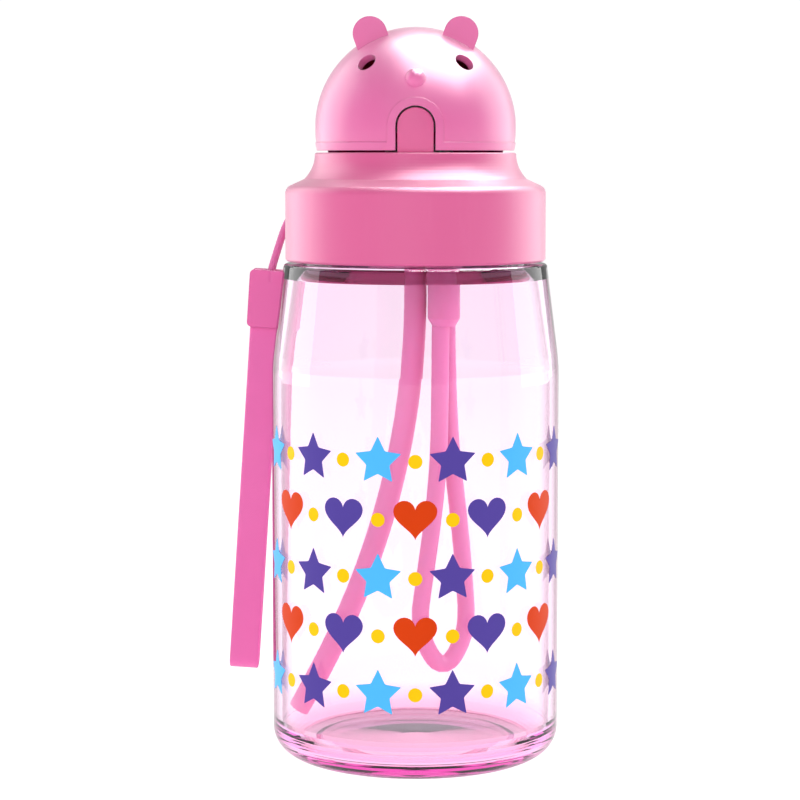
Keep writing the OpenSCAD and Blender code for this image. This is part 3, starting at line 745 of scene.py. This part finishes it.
def clearMaterial():
    look = clearBody
    mat, tree, shader = startMaterial("clearBody")
    skin = groupNode(tree, mouldedSkin, Base=look["base"], Drift=look["drift"], Drift_size=look["driftSize"],
                     Grain_size=look["grain"], Roughness=look["rough"], Roughness_spread=look["spread"])
    marks = groupNode(tree, handlingMarks, Mark_size=look["markSize"], Amount=look["marks"])
    place = addNode(tree, "ShaderNodeTexCoord").outputs["Object"]
    height = addNode(tree, "ShaderNodeSeparateXYZ", ((0, place),)).outputs[2]
    # rises from 0 at the top of the foot band to 1 at its bottom, so the colour turns pinker towards the bottom
    thick = addNode(tree, "ShaderNodeMapRange", (("Value", height), ("From Min", look["foot"][1] * mm),
                                                 ("From Max", look["foot"][0] * mm)))
    footed = mixColor(tree, thick.outputs["Result"], skin.outputs["Color"], look["footColor"])
    # painted shade: the base colour turns dark at grazing angles along the outline, a painted dark reflection
    facing = addNode(tree, "ShaderNodeLayerWeight", (("Blend", 0.5),)).outputs["Facing"]
    rim = addNode(tree, "ShaderNodeMapRange",
                  (("Value", facing), ("From Min", look["rimFrom"]), ("From Max", look["rimFull"])))
    edgeShadedColor = mixColor(tree, rim.outputs["Result"], footed, look["paintedEdgeShade"])
    tree.links.new(edgeShadedColor, shader.inputs["Base Color"])
    linkRoughness(tree, shader, skin, marks, look["rub"])
    linkBump(tree, shader, skin.outputs["Height"], look["bump"], look["bumpDepth"])
    shader.inputs["Transmission Weight"].default_value = 1.0
    shader.inputs["IOR"].default_value = look["ior"]
    tint = addNode(tree, "ShaderNodeVolumeAbsorption", (("Color", look["tint"]), ("Density", look["density"])))
    out = tree.nodes["Material Output"]
    tree.links.new(tint.outputs[0], out.inputs["Volume"])
    rays = addNode(tree, "ShaderNodeLightPath")
    letThrough = addNode(tree, "ShaderNodeBsdfTransparent", (("Color", look["shadow"]),))
    both = addNode(tree, "ShaderNodeMixShader", ((0, rays.outputs["Is Shadow Ray"]), (1, shader.outputs[0]),
                                                 (2, letThrough.outputs[0])))
    tree.links.new(both.outputs[0], out.inputs["Surface"])
    return mat


inkLook = {"driftSize": 60.0, "grain": 5000.0, "rough": 0.34, "spread": 0.12, "specular": 0.08,
           "bump": 0.12, "bumpDepth": 0.00005}
inkColors = {
    "sky": {"name": "inkSky", "base": rgb(84, 190, 255), "drift": rgb(78, 184, 250)},
    "violet": {"name": "inkViolet", "base": rgb(88, 70, 160), "drift": rgb(82, 66, 154)},
    "yellow": {"name": "inkYellow", "base": rgb(255, 206, 10), "drift": rgb(252, 198, 6)},
    "red": {"name": "inkRed", "base": rgb(222, 66, 4), "drift": rgb(214, 60, 8)},
}


def inkMaterial(ink):
    mat, tree, shader = startMaterial(ink["name"])
    skin = groupNode(tree, mouldedSkin, Base=ink["base"], Drift=ink["drift"], Drift_size=inkLook["driftSize"],
                     Grain_size=inkLook["grain"], Roughness=inkLook["rough"], Roughness_spread=inkLook["spread"])
    tree.links.new(skin.outputs["Color"], shader.inputs["Base Color"])
    tree.links.new(skin.outputs["Roughness"], shader.inputs["Roughness"])
    shader.inputs["Specular IOR Level"].default_value = inkLook["specular"]
    linkBump(tree, shader, skin.outputs["Height"], inkLook["bump"], inkLook["bumpDepth"])
    return mat


weaveLook = {"driftSize": 35.0, "grain": 9000.0, "rough": 0.62, "spread": 0.15, "shadeShare": 0.35,
             "fuzz": 0.2, "fuzzDepth": 0.00003, "ribDepth": 0.00012, "sheen": 0.3, "sheenRough": 0.4}
weaves = {
    "band": {"name": "bandWeave", "base": rgb(240, 116, 184), "shade": rgb(226, 100, 168),
             "ribs": 1.5, "threads": 2.1, "bump": 0.35},
    "cord": {"name": "cordBraid", "base": rgb(226, 120, 178), "shade": rgb(206, 96, 156),
             "ribs": 2.4, "threads": 2.4, "bump": 0.25},
}


def wovenMaterial(cloth):
    mat, tree, shader = startMaterial(cloth["name"])
    weave = groupNode(tree, stripWeave, Ribs_per_mm=cloth["ribs"], Threads_per_mm=cloth["threads"])
    skin = groupNode(tree, mouldedSkin, Base=cloth["base"], Drift=cloth["shade"],
                     Drift_size=weaveLook["driftSize"], Grain_size=weaveLook["grain"],
                     Roughness=weaveLook["rough"], Roughness_spread=weaveLook["spread"])
    share = mathNode(tree, "MULTIPLY", weave.outputs["Mask"], weaveLook["shadeShare"])
    tree.links.new(mixColor(tree, share, skin.outputs["Color"], cloth["shade"]), shader.inputs["Base Color"])
    tree.links.new(skin.outputs["Roughness"], shader.inputs["Roughness"])
    fuzz = addNode(tree, "ShaderNodeBump", (("Strength", weaveLook["fuzz"]), ("Distance", weaveLook["fuzzDepth"]),
                                            ("Height", skin.outputs["Height"])))
    linkBump(tree, shader, weave.outputs["Height"], cloth["bump"], weaveLook["ribDepth"], fuzz.outputs[0])
    shader.inputs["Sheen Weight"].default_value = weaveLook["sheen"]
    shader.inputs["Sheen Roughness"].default_value = weaveLook["sheenRough"]
    return mat


steel = {"base": rgb(214, 214, 220), "drift": rgb(196, 196, 204), "driftSize": 300.0, "grain": 9000.0,
         "rough": 0.28, "spread": 0.15}


def steelMaterial():
    mat, tree, shader = startMaterial("pinSteel")
    skin = groupNode(tree, mouldedSkin, Base=steel["base"], Drift=steel["drift"], Drift_size=steel["driftSize"],
                     Grain_size=steel["grain"], Roughness=steel["rough"], Roughness_spread=steel["spread"])
    tree.links.new(skin.outputs["Color"], shader.inputs["Base Color"])
    tree.links.new(skin.outputs["Roughness"], shader.inputs["Roughness"])
    shader.inputs["Metallic"].default_value = 1.0
    return mat


finish = {key: mouldedMaterial(look) for key, look in looks.items()}
finish.update({key: wovenMaterial(cloth) for key, cloth in weaves.items()})
finish["clear"] = clearMaterial()
finish["steel"] = steelMaterial()
inks = {key: inkMaterial(ink) for key, ink in inkColors.items()}

nodeFinish = {
    "bottle_body": "clear", "screw_cap": "cap", "cap_seal": "seal", "lid_deck": "deck", "adapter_seal": "seal",
    "straw_adapter": "tube", "vent_connector": "tube", "vent_valve": "seal", "dome_cover": "dome",
    "pivot_pin_left": "pin", "pivot_pin_right": "pin", "strap_clip_front": "clip", "strap_clip_back": "clip",
    "clip_pin": "steel"}
for nodeName, key in nodeFinish.items():
    nodes[nodeName].material_slots[0].material = finish[key]
pieceFinish = ((cordPiece, "cord"), (bandPiece, "band"), (strawPiece, "tube"), (ventPiece, "tube"),
               (spoutPiece, "spout"), (spoutFoot, "spout"))
for piece, key in pieceFinish:
    piece.data.materials.append(finish[key])
for piece, ink in printPieces.values():
    piece.data.materials.append(inks[ink])
print("materials set")


# pale floor, soft lamps and a white room: the room is brighter behind the bottle, and even where it is
# seen directly or through the clear wall. Powers are in watts and sizes in metres

studio = {
    "floor": rgb(140, 139, 140), "floorGlow": 0.9, "floorRough": 0.7, "aim": (0, 0, 0.09),
    "corners": ((-6, -4, 0), (6, -4, 0), (6, 14, 0), (-6, 14, 0)),
    "lamps": (
        {"name": "frontLamp", "place": (-0.25, -1.3, 0.55), "size": (0.9, 0.9), "power": 7.2, "shine": False},
        {"name": "leftEdge", "place": (-0.9, 0.42, 0.35), "size": (0.95, 1.2), "power": 8.5},
        {"name": "rightEdge", "place": (0.9, 0.42, 0.35), "size": (0.95, 1.2), "power": 8.5},
        {"name": "topGloss", "place": (0.25, 0.05, 0.95), "size": (1.1, 0.9), "power": 48.0, "diffuse": False}),
    "front": 0.3, "back": 0.45, "behind": 1.05, "turnsAt": (0.35, 0.8)}


def makeStudio():
    bm = bmesh.new()
    bm.faces.new([bm.verts.new(p) for p in studio["corners"]])
    floor = addObject("paleFloor", bm)
    mat, tree, shader = startMaterial("paleFloor")
    shader.inputs["Base Color"].default_value = studio["floor"]
    shader.inputs["Roughness"].default_value = studio["floorRough"]
    shader.inputs["Emission Color"].default_value = (1, 1, 1, 1)
    shader.inputs["Emission Strength"].default_value = studio["floorGlow"]
    floor.data.materials.append(mat)
    for lamp in studio["lamps"]:
        data = bpy.data.lights.new(lamp["name"], "AREA")
        data.shape = "RECTANGLE"
        data.size, data.size_y = lamp["size"]
        data.energy = lamp["power"]
        obj = bpy.data.objects.new(lamp["name"], data)
        obj.location = lamp["place"]
        aim = Vector(studio["aim"]) - Vector(lamp["place"])
        obj.rotation_euler = aim.to_track_quat("-Z", "Y").to_euler()
        obj.visible_glossy = lamp.get("shine", True)
        obj.visible_diffuse = lamp.get("diffuse", True)
        obj.visible_camera = obj.visible_transmission = False
        bpy.context.scene.collection.objects.link(obj)
    world = bpy.data.worlds.new("whiteRoom")
    bpy.context.scene.world = world
    world.use_nodes = True
    tree = world.node_tree
    tree.nodes.clear()
    place = addNode(tree, "ShaderNodeTexCoord").outputs["Generated"]
    parts = addNode(tree, "ShaderNodeSeparateXYZ", ((0, place),))
    low, high = studio["turnsAt"]
    glow = addNode(tree, "ShaderNodeMapRange",
                   (("Value", parts.outputs[1]), ("From Min", low), ("From Max", high),
                    ("To Min", studio["front"]), ("To Max", studio["back"])), interpolation_type="SMOOTHSTEP")
    white = (1, 1, 1, 1)
    room = addNode(tree, "ShaderNodeBackground", (("Color", white), ("Strength", glow.outputs["Result"])))
    seen = addNode(tree, "ShaderNodeBackground", (("Color", white), ("Strength", studio["behind"])))
    rays = addNode(tree, "ShaderNodeLightPath")
    plain = mathNode(tree, "MAXIMUM", rays.outputs["Is Camera Ray"], rays.outputs["Is Transmission Ray"])
    both = addNode(tree, "ShaderNodeMixShader", ((0, plain), (1, room.outputs[0]), (2, seen.outputs[0])))
    addNode(tree, "ShaderNodeOutputWorld", ((0, both.outputs[0]),))
    bpy.context.scene.view_settings.view_transform = "Standard"


makeStudio()
print("studio made")
